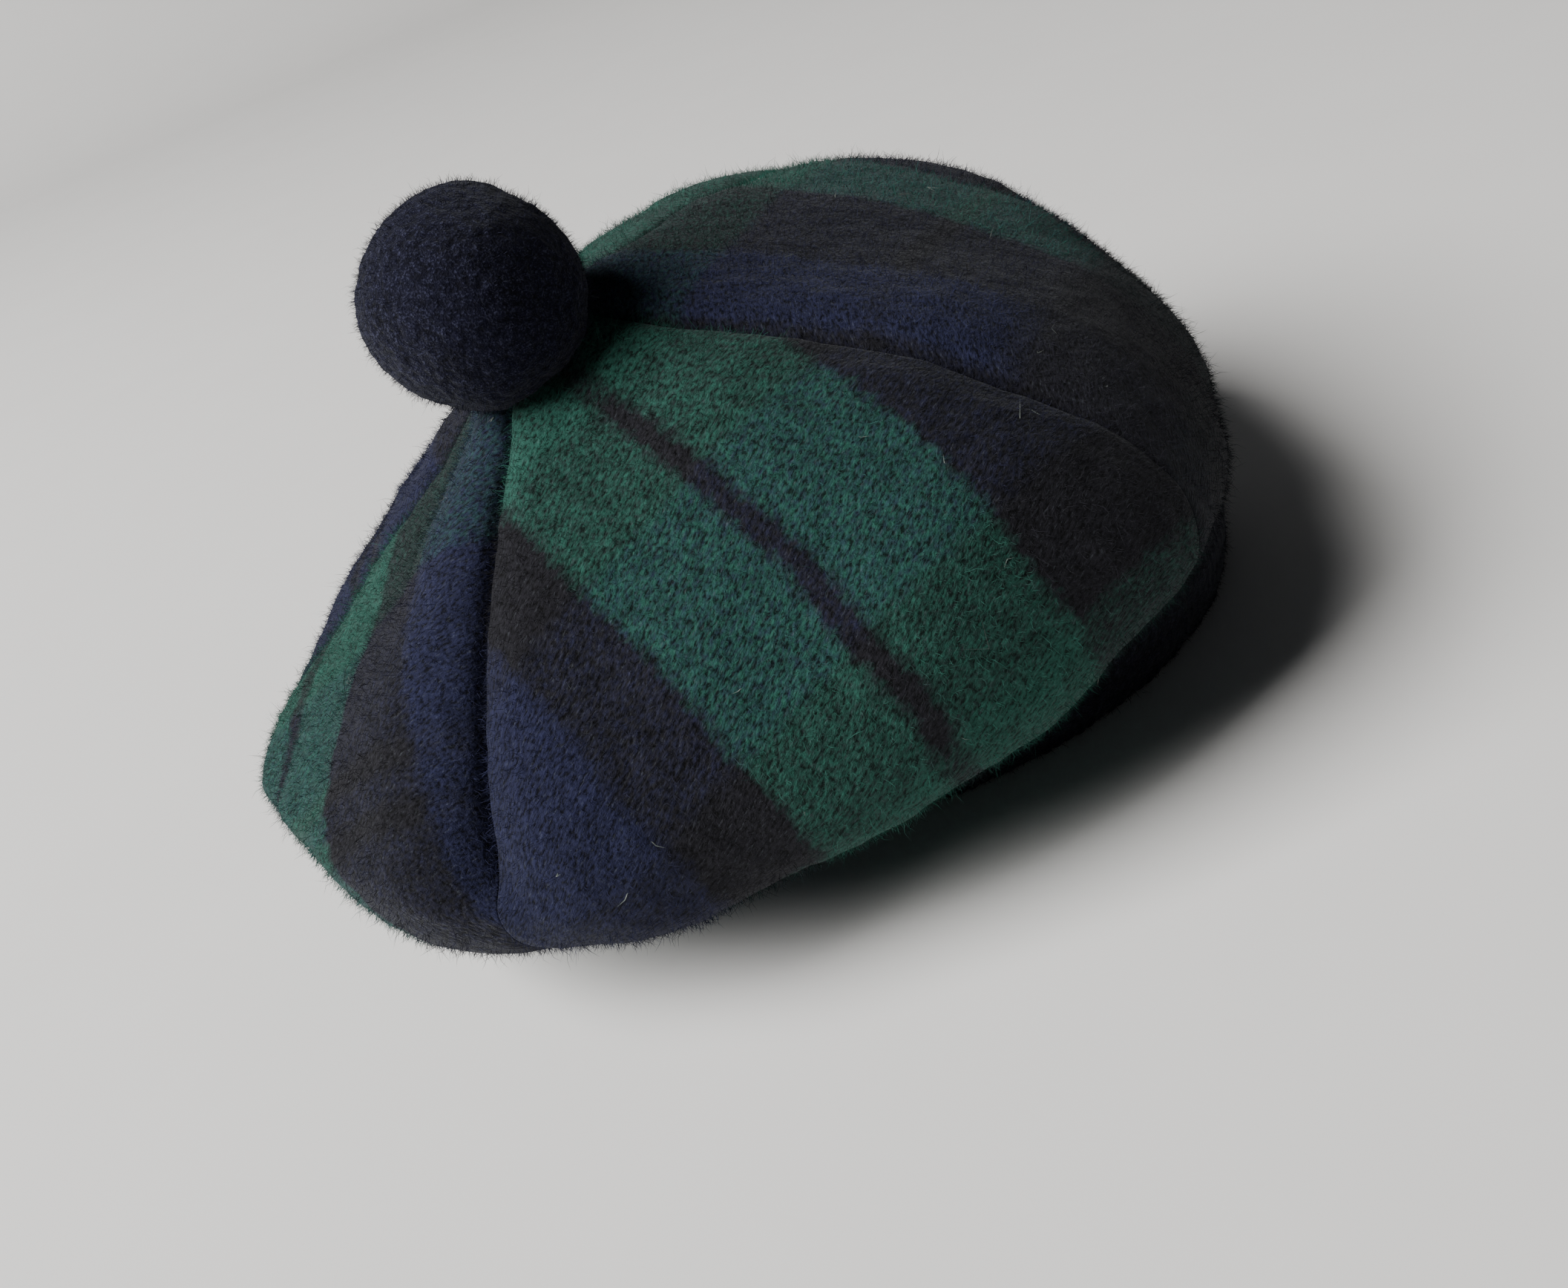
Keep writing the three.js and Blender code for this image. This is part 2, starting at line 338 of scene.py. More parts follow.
@dataclass(frozen=True)
class CheckFinish:
    """The brushed check cloth of one gore.

    The grain is how far the stripes turn from the gore's middle line, in degrees. warp and
    weft list the stripes along the grain and across it, each from its start to the next.
    """

    name: str
    grain: float
    warp: tuple[Stripe, ...]
    weft: tuple[Stripe, ...]
    weft_share: float = 0.26  # how much of the weft shows on the face
    mottle: float = 0.42  # how unevenly it shows
    softness: float = 3.4  # a stripe's edge, in mm
    weft_cover_and_shade: Stripe | None = None  # past its start the cloth is painted nearly all in its yarn: the weft hiding the warp, and painted shade
    brushed: float = -20.0  # how far the brushing turns from the grain, in degrees
    sheen: float = 0.1

    @staticmethod
    def _turned(x: Level, y: Level, degrees: float) -> tuple[Level, Level]:
        """Two coordinates on the cloth, turned by an angle."""
        cos, sin = math.cos(math.radians(degrees)), math.sin(math.radians(degrees))
        return x * cos + y * sin, y * cos - x * sin

    def _stripes(self, bench: Bench, place: Level, row: Sequence[Stripe]) -> Value:
        """The colour of a row of stripes at a place across them."""
        colour: Value = row[0].yarn.value
        for stripe in row[1:]:
            edge = place.step(stripe.start, self.softness)
            colour = bench.mix(colour, stripe.yarn.value, edge)
        return colour

    def _check(self, bench: Bench) -> tuple[NodeSocket, Level, Level]:
        """The woven colours, with painted shade on the lower cloth of some gores.

        Args:
            bench: the material being made.

        Returns:
            The colour, and the place across the grain and along it, in mm.
        """
        over, along = self._turned(*bench.cloth_place(), self.grain)
        flat = bench.point(over, along)
        ragged = (bench.noise(flat, 3.2, 3.0) - 0.5) * 8.0
        drift = (bench.noise(flat, 34.0, 1.0) - 0.5) * 5.0
        warp = self._stripes(bench, over + ragged + drift, self.warp)
        weft = self._stripes(bench, along - ragged + drift, self.weft)
        strokes = bench.noise(self._strokes(bench, over, along, 1.5), 1.3, 2.0)
        shown = (strokes - 0.5) * (4 * self.mottle) + self.weft_share
        share = shown.step(0.5, 1.0)
        colour = bench.mix(warp, weft, share)
        if self.weft_cover_and_shade is not None:
            # painted shade: from that start down the cloth goes nearly all to the given yarn,
            # partly black weft and partly shade
            weft_cover_and_shade_share = (along - ragged + drift).step(self.weft_cover_and_shade.start, 3 * self.softness)
            colour = bench.mix(colour, self.weft_cover_and_shade.yarn.value, weft_cover_and_shade_share * 0.9)
        return colour, over, along

    def _strokes(self, bench: Bench, over: Level, along: Level, length: float) -> Value:
        """The place on the cloth, drawn out by a length the way that it was brushed."""
        lengthwise, aside = self._turned(over, along, self.brushed)
        return bench.point(lengthwise * (1 / length), aside)

    def cloth(self) -> Material:
        """The cloth's own surface: felted strokes, pits and paler loose fibres."""
        bench = Bench(self.name)
        colour, over, along = self._check(bench)
        strokes = bench.noise(self._strokes(bench, over, along, 1.8), 0.9, 3.0)
        lumps = bench.noise(bench.point(over, along), 5.5, 2.0)
        pits = strokes.step(0.42, 0.14)
        hairs = bench.noise(self._strokes(bench, over, along, 3.2), 0.6, 3.0)
        tone = (strokes - 0.5) * 2.4 + (lumps - 0.5) * 1.2 + pits * 0.6 + 0.42
        lit = bench.dim(colour, tone.highest(0.2))
        loose = hairs.step(0.64, 0.12) * 0.16
        shade = bench.mix(lit, LOOSE_WOOL, loose)
        height = strokes * 0.62 + lumps * 0.38
        roughness = 0.98 - strokes * 0.12
        return bench.wool(shade, roughness, self.sheen, height, 1.1 * MM)

    def nap(self) -> Material:
        """The loose fibres that stand on the cloth, a little paler than it is."""
        bench = Bench(self.name + "_nap")
        colour, over, along = self._check(bench)
        bright = bench.noise(bench.point(over, along), 0.7, 1.0)
        shade = bench.dim(colour, ((bright - 0.5) * 4.5 + 1.25).highest(0.3))
        return bench.wool(shade, 0.9, self.sheen)


@dataclass(frozen=True)
class FeltFinish:
    """Felted or fulled wool in one dye: tufts, pits and paler fibres."""

    name: str
    dye: Colour
    pale: Colour
    tuft: float  # the size of its tufts, in metres
    depth: float  # how deep the bump between them is
    sheen: float = 0.22

    def surface(self) -> Material:
        """The felt itself."""
        bench = Bench(self.name)
        place = bench.object_place()
        tufts = bench.noise(place, self.tuft, 3.0)
        broad = bench.noise(place, self.tuft * 9, 2.0)
        specks = bench.noise(place, self.tuft * 0.32, 2.0)
        tone = (tufts - 0.5) * 2.6 + (broad - 0.5) * 1.1 + 1.0
        lit = bench.dim(self.dye, tone.highest(0.2))
        shade = bench.mix(lit, self.pale, specks.step(0.58, 0.16) * tufts.step(0.5, 0.3) * 0.62)
        height = tufts * 0.7 + specks * 0.3
        return bench.wool(shade, 0.98 - tufts * 0.1, self.sheen, height, self.depth)

    def fibres(self) -> Material:
        """The loose fibres that stand on it."""
        bench = Bench(self.name + "_fibres")
        bright = bench.noise(bench.object_place(), 1.6 * MM, 1.0)
        shade = bench.mix(self.dye, self.pale, bright.step(0.62, 0.3) * 0.6)
        return bench.wool(shade, 0.92, self.sheen)


# ------------------------ building


def linked(name: str, data: bpy.types.ID) -> Object:
    """A new object in the scene."""
    made = bpy.data.objects.new(name, data)
    bpy.context.scene.collection.objects.link(made)
    return made


def finished(name: str, mesh: Mesh, material: Material) -> Object:
    """Puts a mesh that is already in place in the scene, as a piece of the hat."""
    mesh.materials.append(material)
    piece = linked(name, mesh)
    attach(piece, BODY)
    return piece


def to_mesh(name: str, form: bmesh.types.BMesh) -> Mesh:
    """Turns a finished form into a smooth mesh and frees it."""
    for face in form.faces:
        face.smooth = True
    mesh = bpy.data.meshes.new(name)
    form.to_mesh(mesh)
    form.free()
    return mesh


def places_of(form: bmesh.types.BMesh) -> Array:
    """Where each vertex is."""
    return np.array([vertex.co for vertex in form.verts])


def move_to(form: bmesh.types.BMesh, places: Array) -> None:
    """Moves each vertex to its new place."""
    for vertex, place in zip(form.verts, places):
        vertex.co = place


@dataclass
class Roots:
    """Where loose fibres grow: places, the way out there, and places on the cloth."""

    places: Array
    outward: Array
    cloth: Array | None = None


@dataclass(frozen=True)
class Fuzz:
    """Loose fibres as thin pointed ribbons of two bends, made in one mesh."""

    count: int
    length: Pair  # from a short one to a long one
    width: float
    stand: Pair  # how steeply they leave the surface, 0 flat to 1 upright
    curl: float  # how far they bend, as a part of their length
    combed: Triple = (0.0, 0.0, -0.35)  # the way that they are brushed
    long_share: float = 0.09  # how many of them are strays
    long_length: float = 2.1  # how much longer those are
    seed: int = 1

    def ribbons(self, name: str, roots: Roots) -> Mesh:
        """Grows one fibre on each root.

        Args:
            name: the mesh's name.
            roots: where they grow.

        Returns:
            The mesh of all of them.
        """
        random = np.random.default_rng(self.seed)
        count = len(roots.places)
        aside = unit(random.normal(size=(count, 3)) + np.array(self.combed) * 2)
        aside = unit(aside - roots.outward * (aside * roots.outward).sum(1, keepdims=True))
        rise = random.uniform(*self.stand, (count, 1))
        way = unit(roots.outward * rise + aside * (1 - rise))
        length = random.uniform(*self.length, (count, 1))
        length[random.random(count) < self.long_share] *= self.long_length
        bend = random.normal(size=(count, 3)) * self.curl
        bend -= roots.outward * np.minimum((bend * roots.outward).sum(1, keepdims=True), 0)
        middle = roots.places + way * length * 0.5
        tip = middle + unit(way + bend) * length * 0.5
        flat = unit(np.cross(way, random.normal(size=(count, 3)))) * self.width / 2
        start = roots.places - roots.outward * ROOTED
        corners = [start - flat, start + flat, middle + flat, middle - flat, tip]
        points = np.stack(corners, axis=1).reshape(-1, 3)
        points[:, 2] = np.maximum(points[:, 2], FLOOR_CLEAR)
        first = np.arange(count)[:, None] * len(corners)
        blades = np.concatenate([first + [0, 1, 2, 3], first + [3, 2, 4, 4]], axis=1)
        faces = [f for row in blades.tolist() for f in (row[:4], row[4:7])]
        mesh = bpy.data.meshes.new(name)
        mesh.from_pydata(points, [], faces)
        self._lay_out(mesh, roots)
        return mesh

    @staticmethod
    def _lay_out(mesh: Mesh, roots: Roots) -> None:
        """Gives the fibres their cloth places, and a map where each has a little patch.

        Args:
            mesh: the fibres' mesh, seven face corners for each of them.
            roots: where they grow.
        """
        foot, tip = [[-1, -1], [1, -1], [1, 0], [-1, 0]], [[-1, 0], [1, 0], [0, 1]]
        patch = np.array(foot + tip) * FIBRE_PATCH
        each = len(patch)
        if roots.cloth is None:
            number = np.arange(len(roots.places))
            side = math.ceil(math.sqrt(len(number)))
            spot = (np.stack([number % side, number // side], -1) + 0.5) / side
        else:
            place = mesh.uv_layers.new(name=CLOTH_MAP)
            shared = np.repeat(roots.cloth, each, axis=0).astype(np.float32)
            place.uv.foreach_set("vector", shared.ravel())
            low, high = roots.cloth.min(0), roots.cloth.max(0)
            spot = 0.01 + 0.98 * (roots.cloth - low) / (high - low)
        laid = (spot[:, None, :] + patch[None]).reshape(-1, 2)
        bake = mesh.uv_layers.new(name=BAKE_MAP)
        bake.uv.foreach_set("vector", laid.clip(0, 1).astype(np.float32).ravel())


# ------------------------ the crown's form


class Section(NamedTuple):
    """The crown's outline in one direction from the pole, in mm."""

    reach: float  # pole to rim
    rim_height: float
    shoulder: float  # how steeply the cloth stands up from the rim
    fall: float  # how early it drops from the pole, as a part of the height
    underside: float  # how low it hangs below the rim


class Seam(NamedTuple):
    """A seam between two gores: its turn in degrees and the valley along it, in mm."""

    turn: float
    depth: float
    width: float
    end: float  # the "along" where the valley runs out
    pucker: float  # how far the cloth is drawn in there


class Fold(NamedTuple):
    """A soft dent or bulge of the crown."""

    turn: float  # in degrees
    along: float
    rise: float  # in mm, below 0 for a dent
    wide: float  # half its width round the crown, in mm
    tall: float  # half its height, in "along"


SECTIONS = (
    Section(165, 60, 40, -0.05, 50),  # front
    Section(186, 70, 55, -0.1, 31),
    Section(134, 58, 32, 0.28, 22),  # left
    Section(138, 34, 16, 0.37, 14),
    Section(108, 50, 3, 0.55, 9),  # back
    Section(113, 52, 19, 0.2, 16),
    Section(110, 50, 33, 0.22, 27),  # right
    Section(144, 62, 40, 0.08, 44),
)

SEAMS = (
    Seam(-128, 7, 7, 0.9, 4),
    Seam(-42, 4, 7, 0.7, 0),
    Seam(39, 5, 7, 1.1, 2),
    Seam(145, 5, 8, 0.9, -2),
)

FOLDS = (
    Fold(-50, 0.62, 2.0, 16, 0.2),
    Fold(-30, 0.6, 2.6, 18, 0.22),
    Fold(-118, 0.78, 2.0, 16, 0.16),
    Fold(-139, 0.8, 1.8, 14, 0.16),
    Fold(-104, 1.02, -1.6, 15, 0.14),
    Fold(-66, 0.92, -1.6, 20, 0.16),
    Fold(60, 0.7, -1.8, 24, 0.2),
    Fold(100, 0.75, 2.0, 26, 0.22),
    Fold(12, 0.85, -1.6, 22, 0.18),
    Fold(-42, 0.98, 3.0, 17, 0.3),
)


@dataclass
class CrownForm:
    """The crown's surface in metres, about the middle of the headband."""

    middle: Vector  # of the headband
    half_length: float = 100 * MM
    half_width: float = 83 * MM
    band_height: float = 28.5 * MM
    joint_inset: float = 2.5 * MM
    joint_gap: float = 0.3 * MM
    pole: Triple = (-70 * MM, -16 * MM, 145 * MM)
    peak: float = 4 * MM
    peak_spread: float = 30 * MM
    tuck: float = 0.35
    tuck_rise: float = 0.35
    shoulder_reach: float = 0.5
    puff: float = 4 * MM
    puff_end: float = 1.5
    seam_start: Pair = (0.03, 0.25)
    seam_fade: Pair = (0.15, 0.1)
    pucker_size: Pair = (12 * MM, 0.12)
    stitch_in: float = 1.5 * MM  # how far the edges turn in at the stitching
    stitch_width: float = 1.5 * MM
    stitch_fade: float = 0.75  # how much of that is gone past a valley's end
    unevenness: float = 0.5 * MM
    turns: tuple[float, ...] = tuple(math.radians(seam.turn) for seam in SEAMS)
    ripples: tuple[Ripple, Ripple] = (Ripple(46 * MM, 11), Ripple(9 * MM, 12))

    @staticmethod
    def wave(column: str, turn: Array) -> Array:
        """The smooth closed wave through one column of the sections, at some turns."""
        values = np.array([getattr(section, column) for section in SECTIONS], float)
        waves = np.fft.rfft(values) / len(values)
        waves[1:-1] *= 2  # all but the mean and the finest have a mirror image
        angle = np.asarray(turn)[..., None] * np.arange(len(waves))
        return np.cos(angle) @ waves.real - np.sin(angle) @ waves.imag

    def plain(self, turn: Array, along: Array) -> Array:
        """The surface before its seams, puffs and folds.

        Args:
            turn: the directions about the pole.
            along: how far from the pole over the rim to the headband.

        Returns:
            The places, about the middle of the headband.
        """
        turn, along = np.broadcast_arrays(np.asarray(turn, float), np.asarray(along, float))
        reach, rim_z, shoulder, under = (
            self.wave(name, turn) * MM for name in ("reach", "rim_height", "shoulder", "underside")
        )
        pole_x, pole_y, pole_z = self.pole
        rim_x = pole_x + reach * np.cos(turn)
        rim_y = pole_y + reach * np.sin(turn)
        start, first, second, end = cubic_weights(np.clip(along, 0, 1))
        out = first * self.shoulder_reach + second + end
        top = pole_z - self.peak
        first_z = top - self.wave("fall", turn) * (top - rim_z)
        height = start * top + first * first_z + second * (rim_z + shoulder) + end * rim_z
        height = height + self.peak * np.exp(-out * reach / self.peak_spread)
        upper_x = pole_x + (rim_x - pole_x) * out
        upper_y = pole_y + (rim_y - pole_y) * out
        upper = np.stack([upper_x, upper_y, height], -1)
        start, first, second, end = cubic_weights(np.clip(along - 1, 0, 1))
        angle = np.arctan2(rim_y, rim_x)
        oval = 1 / np.hypot(np.cos(angle) / self.half_length, np.sin(angle) / self.half_width)
        joint_x = (oval - self.joint_inset) * np.cos(angle)
        joint_y = (oval - self.joint_inset) * np.sin(angle)
        joint_z = self.band_height + self.joint_gap
        tuck_x = joint_x + (rim_x - joint_x) * self.tuck
        tuck_y = joint_y + (rim_y - joint_y) * self.tuck
        tuck_z = under + (joint_z - under) * self.tuck_rise
        lower_x = (start + first) * rim_x + second * tuck_x + end * joint_x
        lower_y = (start + first) * rim_y + second * tuck_y + end * joint_y
        lower_z = start * rim_z + first * under + second * tuck_z + end * joint_z
        lower = np.stack([lower_x, lower_y, lower_z], -1)
        return np.where((along <= 1)[..., None], upper, lower)

    def placed(self, places: Array) -> Array:
        """Places about the middle of the headband, in the hat's own frame."""
        return places + np.array([self.middle.x, self.middle.y, 0])

    def outward(self, turn: Array, along: Array) -> Array:
        """The way out of the plain surface."""
        step = 0.02
        at = np.clip(along, 2 * step, 2 - step)
        down = self.plain(turn, at + step) - self.plain(turn, at - step)
        across = self.plain(turn + step, at) - self.plain(turn - step, at)
        return unit(np.cross(down, across))

    def span(self, index: int) -> float:
        """How far a gore's next seam lies round from its own."""
        return (self.turns[(index + 1) % len(self.turns)] - self.turns[index]) % TURN

    def away(self, turn: Array, other: float) -> Array:
        """How far each direction is from another, in radians."""
        return np.abs(np.arctan2(np.sin(turn - other), np.cos(turn - other)))

    def relief(self, index: int, turn: Array, along: Array) -> Array:
        """How far the finished cloth stands out from the plain surface.

        Args:
            index: the gore's place in seam order.
            turn: the directions about the pole.
            along: how far from the pole.

        Returns:
            The height, in metres, below 0 in a valley.
        """
        across = (turn - self.turns[index]) / self.span(index)
        swell = np.sin(math.pi * np.clip(along / self.puff_end, 0, 1))
        height = self.puff * 4 * across * (1 - across) * swell
        arm = self.wave("reach", turn) * MM * np.sin(math.pi / 2 * np.minimum(along, 1))
        for seam, seam_turn in zip(SEAMS, self.turns):
            distance = self.away(turn, seam_turn) * arm
            opens = smooth_step(along, *self.seam_start)
            fades = smooth_step(along, seam.end - self.seam_fade[0], seam.end + self.seam_fade[1])
            valley = seam.depth * MM * np.exp(-distance / (seam.width * MM))
            height = height - valley * opens * (1 - fades)
            wide, tall = self.pucker_size
            spot = np.exp(-((distance / wide) ** 2) - ((along - seam.end) / tall) ** 2)
            height = height - seam.pucker * MM * spot
            stitched = opens * (1 - fades * self.stitch_fade)
            edge = np.exp(-((distance / self.stitch_width) ** 2))
            height = height - self.stitch_in * stitched * edge
        for fold in FOLDS:
            beside = self.away(turn, math.radians(fold.turn)) * arm / (fold.wide * MM)
            above = (along - fold.along) / fold.tall
            height = height + fold.rise * MM * np.exp(-(beside**2) - above**2)
        return height

    def surface(self, index: int, turn: Array, along: Array) -> Array:
        """The finished cloth's outside, in place."""
        plain = self.plain(turn, along)
        free = smooth_step(along, 0.0, 0.3) * (1 - smooth_step(along, 1.5, 1.95))
        broad, fine = (ripple.at(plain) for ripple in self.ripples)
        uneven = (broad * 1.6 + fine * 0.45) * self.unevenness * free
        height = self.relief(index, turn, along) + uneven
        return self.placed(plain + self.outward(turn, along) * height[..., None])

    def height_over(self, x: Array, y: Array) -> Array:
        """The crown's height over places near the pole.

        Args:
            x: forward, in the hat's own frame.
            y: to the left, in the hat's own frame.

        Returns:
            The heights.
        """
        away_x = x - self.middle.x - self.pole[0]
        away_y = y - self.middle.y - self.pole[1]
        turn = np.arctan2(away_y, away_x)
        wanted = np.hypot(away_x, away_y)
        low, high = np.zeros_like(wanted), np.ones_like(wanted)
        for _ in range(18):
            along = (low + high) / 2
            point = self.plain(turn, along)
            near = np.hypot(point[..., 0] - self.pole[0], point[..., 1] - self.pole[1]) < wanted
            low = np.where(near, along, low)
            high = np.where(near, high, along)
        height = np.full(wanted.shape, -1.0)
        for index, seam_turn in enumerate(self.turns):
            started = seam_turn + (turn - seam_turn) % TURN
            inside = (turn - seam_turn) % TURN < self.span(index)
            height = np.where(inside, self.surface(index, started, low)[..., 2], height)
        return height


# ------------------------ the gores


@dataclass
class Gore:
    """One gore: a closed sheet of cloth between two seams, with its nap and strays."""

    index: int
    node: str
    finish: CheckFinish
    fuzz: Fuzz
    strays: Fuzz
    form: CrownForm
    slot: str = "check_cloth"
    thickness: float = 2.5 * MM
    seam_gap: float = 0.1 * MM
    first_ring: float = 0.035
    crowding: float = 0.7
    columns: int = 112
    rows: int = 150

    def _grid(self) -> tuple[Array, Array]:
        """The sheet's outside on its grid, from the pole down, and its cloth places.

        Returns:
            The places and the places on the cloth, by row and column.
        """
        column = np.linspace(0, 1, self.columns + 1)
        crowded = column - self.crowding * np.sin(TURN * column) / TURN
        along = np.linspace(self.first_ring, 2, self.rows + 1)[:, None]
        turn = self.form.turns[self.index] + self.form.span(self.index) * crowded[None, :]
        step = 0.01
        speed = self.form.plain(turn + step, along) - self.form.plain(turn - step, along)
        half_gap = self.seam_gap / 2 / (np.linalg.norm(speed, axis=-1) / (2 * step))
        turn = turn + half_gap * (1 - 2 * crowded)
        places = self.form.surface(self.index, turn, along)
        pole = self.form.placed(np.array(self.form.pole))
        radius = np.linalg.norm(places[:1] - pole, axis=-1) + run(places, 0)
        widths = run(places, 1)
        angle = (widths - widths[:, -1:] / 2) / radius
        return places, np.stack([radius * np.sin(angle), radius * np.cos(angle)], -1)

    def _mesh(self, places: Array, cloth: Array) -> Mesh:
        """A grid bent into the gore.

        Args:
            places: the outside, by row and column.
            cloth: the places on the cloth.

        Returns:
            The mesh of the outside, with its cloth map.
        """
        panel = bmesh.new()
        bmesh.ops.create_grid(panel, x_segments=self.columns, y_segments=self.rows, size=0.5)
        flat = places_of(panel)
        column = np.rint((flat[:, 0] + 0.5) * self.columns).astype(int)
        row = np.rint((0.5 - flat[:, 1]) * self.rows).astype(int)
        move_to(panel, places[row, column])
        layer = panel.loops.layers.uv.new(CLOTH_MAP)
        spots = cloth[row, column]
        panel.verts.index_update()
        for face in panel.faces:
            for loop in face.loops:
                loop[layer].uv = spots[loop.vert.index]
        return to_mesh(self.node + "_cloth", panel)

    def _roots(self, places: Array, cloth: Array) -> Roots:
        """Scatters the nap's roots evenly over the outside."""
        random = np.random.default_rng(self.fuzz.seed)
        across = places[:-1, 1:] - places[:-1, :-1]
        down = places[1:, :-1] - places[:-1, :-1]
        facing = np.cross(down, across)
        size = np.linalg.norm(facing, axis=-1)
        chance = (size / size.sum()).ravel()
        cell = random.choice(chance.size, self.fuzz.count, p=chance)
        row, column = np.unravel_index(cell, size.shape)
        right, below = random.random((2, self.fuzz.count, 1))

        def between(values: Array) -> Array:
            """The values at the places inside the cells."""
            upper = values[row, column] * (1 - right) + values[row, column + 1] * right
            lower = values[row + 1, column] * (1 - right) + values[row + 1, column + 1] * right
            return upper * (1 - below) + lower * below

        return Roots(between(places), unit(facing[row, column]), between(cloth))

    def _strays(self, roots: Roots) -> Object:
        """Lays a few long hairs on the cloth, at every so many of the nap's roots, their pale
        colour a painted highlight.
        """
        gap = len(roots.places) // self.strays.count
        few = Roots(roots.places[::gap], roots.outward[::gap])
        mesh = self.strays.ribbons(self.node + "_strays", few)
        return finished(self.node + "_strays", mesh, STRAY_HIGHLIGHT.fibres())

    def build(self) -> None:
        """Makes the cloth, its nap and its strays."""
        places, cloth = self._grid()
        mesh = self._mesh(places, cloth)
        piece = finished(self.node + "_cloth", mesh, self.finish.cloth())
        wall = piece.modifiers.new("Wall", "SOLIDIFY")
        wall.thickness = self.thickness
        wall.offset = -1
        roots = self._roots(places, cloth)
        nap_mesh = self.fuzz.ribbons(self.node + "_nap", roots)
        nap = finished(self.node + "_nap", nap_mesh, self.finish.nap())
        strays = self._strays(roots)
        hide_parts(self.node)


# ------------------------ the headband


@dataclass
class Headband:
    """The fulled knitted band: an oval ring with ribs of stitches and a nubbly foot."""

    form: CrownForm
    finish: FeltFinish
    fuzz: Fuzz
    node: str = "headband"
    wall: float = 4.5 * MM
    swell: float = 2.0 * MM
    squareness: float = 0.36  # of its section: 1 is round, 0 is square
    columns: int = 144  # stitches round it
    steps_each: int = 6
    section_points: int = 40
    rows: float = 9.0  # stitches up it
    rib: float = 0.09 * MM
    scallop: float = 1.1 * MM
    nub_share: float = 0.6  # how far a scallop stands out, as a part of its height

    def _section(self, share: Array) -> tuple[Array, Array]:
        """The ring's section.

        Args:
            share: the places round it, from 0 to 1, starting at the middle of the outside.

        Returns:
            How far out from the band's outline, and how high, at each place.
        """
        angle = share * TURN
        circle = np.cos(angle), np.sin(angle)
        wide, tall = (np.sign(w) * np.abs(w) ** self.squareness for w in circle)
        height = self.form.band_height * (tall + 1) / 2
        up = height / self.form.band_height
        bulge = self.swell * np.sin(math.pi * np.clip(up, 0, 1)) ** 0.8
        outer, inner = bulge - 0.7 * MM * (1 - np.sin(math.pi * up)), -self.wall
        top_in = 1.8 * MM * smooth_step(up, 0.9, 1.0)
        outside = outer * wide - (1 - wide) * self.wall / 2 - top_in * wide
        inside = -self.wall / 2 + (inner + self.wall / 2) * -wide
        return np.where(wide > 0, outside, inside), height

    def build(self) -> None:
        """Makes the band and its fibres."""
        ring = bmesh.new()
        loop = bmesh.ops.create_circle(ring, segments=self.section_points, radius=1.0)["verts"]
        share = np.array([math.atan2(v.co.y, v.co.x) / TURN for v in loop])
        out, height = self._section(share)
        for vertex, x, z in zip(loop, out, height):
            vertex.co = (self.form.half_width + x, 0, z)
        steps = self.columns * self.steps_each
        spun = loop + list(ring.edges)
        about = {"cent": (0, 0, 0), "axis": (0, 0, 1), "angle": TURN}
        bmesh.ops.spin(ring, geom=spun, steps=steps, use_merge=True, **about)
        bmesh.ops.remove_doubles(ring, verts=ring.verts, dist=1e-6)
        bmesh.ops.recalc_face_normals(ring, faces=ring.faces)
        self._settle(ring)
        move_to(ring, self._knit(places_of(ring)))
        roots = self._roots(ring)
        mesh = to_mesh("headband_knit", ring)
        piece = finished("headband_knit", mesh, self.finish.surface())
        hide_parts(self.node)
        fibres = self.fuzz.ribbons("headband_fibres", roots)
        finished("headband_fibres", fibres, self.finish.fibres())
        log.info("%s: %d stitches round", self.node, self.columns)

    def _settle(self, ring: bmesh.types.BMesh) -> None:
        """Sorts the round ring by place, as the merge leaves it in another order each run."""
        steps = 2 * self.columns * self.steps_each
        centres = np.array([face.calc_center_median() for face in ring.faces])
        for parts, places in ((ring.verts, places_of(ring)), (ring.faces, centres)):
            x, y, z = places.T
            column = np.rint(np.arctan2(y, x) / TURN * steps) % steps
            out = np.hypot(x, y) - self.form.half_width + self.wall / 2
            angle = np.arctan2(z - self.form.band_height / 2, out) % TURN
            rank = np.argsort(np.lexsort((angle, column))).tolist()
            parts.index_update()
            parts.sort(key=lambda part: rank[part.index])
            parts.index_update()

    def _knit(self, places: Array) -> Array:
        """Turns the round ring into the oval, and raises the stitches on it.

        Args:
            places: the vertices of the round ring.

        Returns:
            Their places on the band.
        """
        angle = np.arctan2(places[:, 1], places[:, 0])
        out = np.hypot(places[:, 0], places[:, 1]) - self.form.half_width
        up = places[:, 2] / self.form.band_height
        column = angle / TURN * self.columns
        outside = smooth_step(out, -self.wall / 2, 0.0)
        slant = np.abs((column % 1) - 0.5)
        stitch = np.cos(TURN * (up * self.rows + slant))
        ribs = np.cos(TURN * column) * 0.6 + stitch * 0.4
        foot = 1 - smooth_step(up, 0.0, 0.16)
        ragged = 0.7 + 0.3 * np.sin(column * 1.9) + 0.25 * np.sin(column * 0.73 + 1)
        lobe = np.cos(math.pi * (column % 1 - 0.5)) ** 0.7
        nub = lobe * ragged * self.scallop * self.nub_share
        out = out + outside * (ribs * self.rib * (1 - foot) + foot * nub)
        lift = foot * (1 - lobe * ragged).clip(0, 1) * self.scallop * (0.35 + 0.65 * outside)
        cos, sin = np.cos(angle), np.sin(angle)
        oval = 1 / np.hypot(cos / self.form.half_length, sin / self.form.half_width)
        radius = oval + out
        middle = self.form.middle
        high = places[:, 2] + lift * (up < 0.5)
        return np.stack([middle.x + radius * cos, middle.y + radius * sin, high], -1)

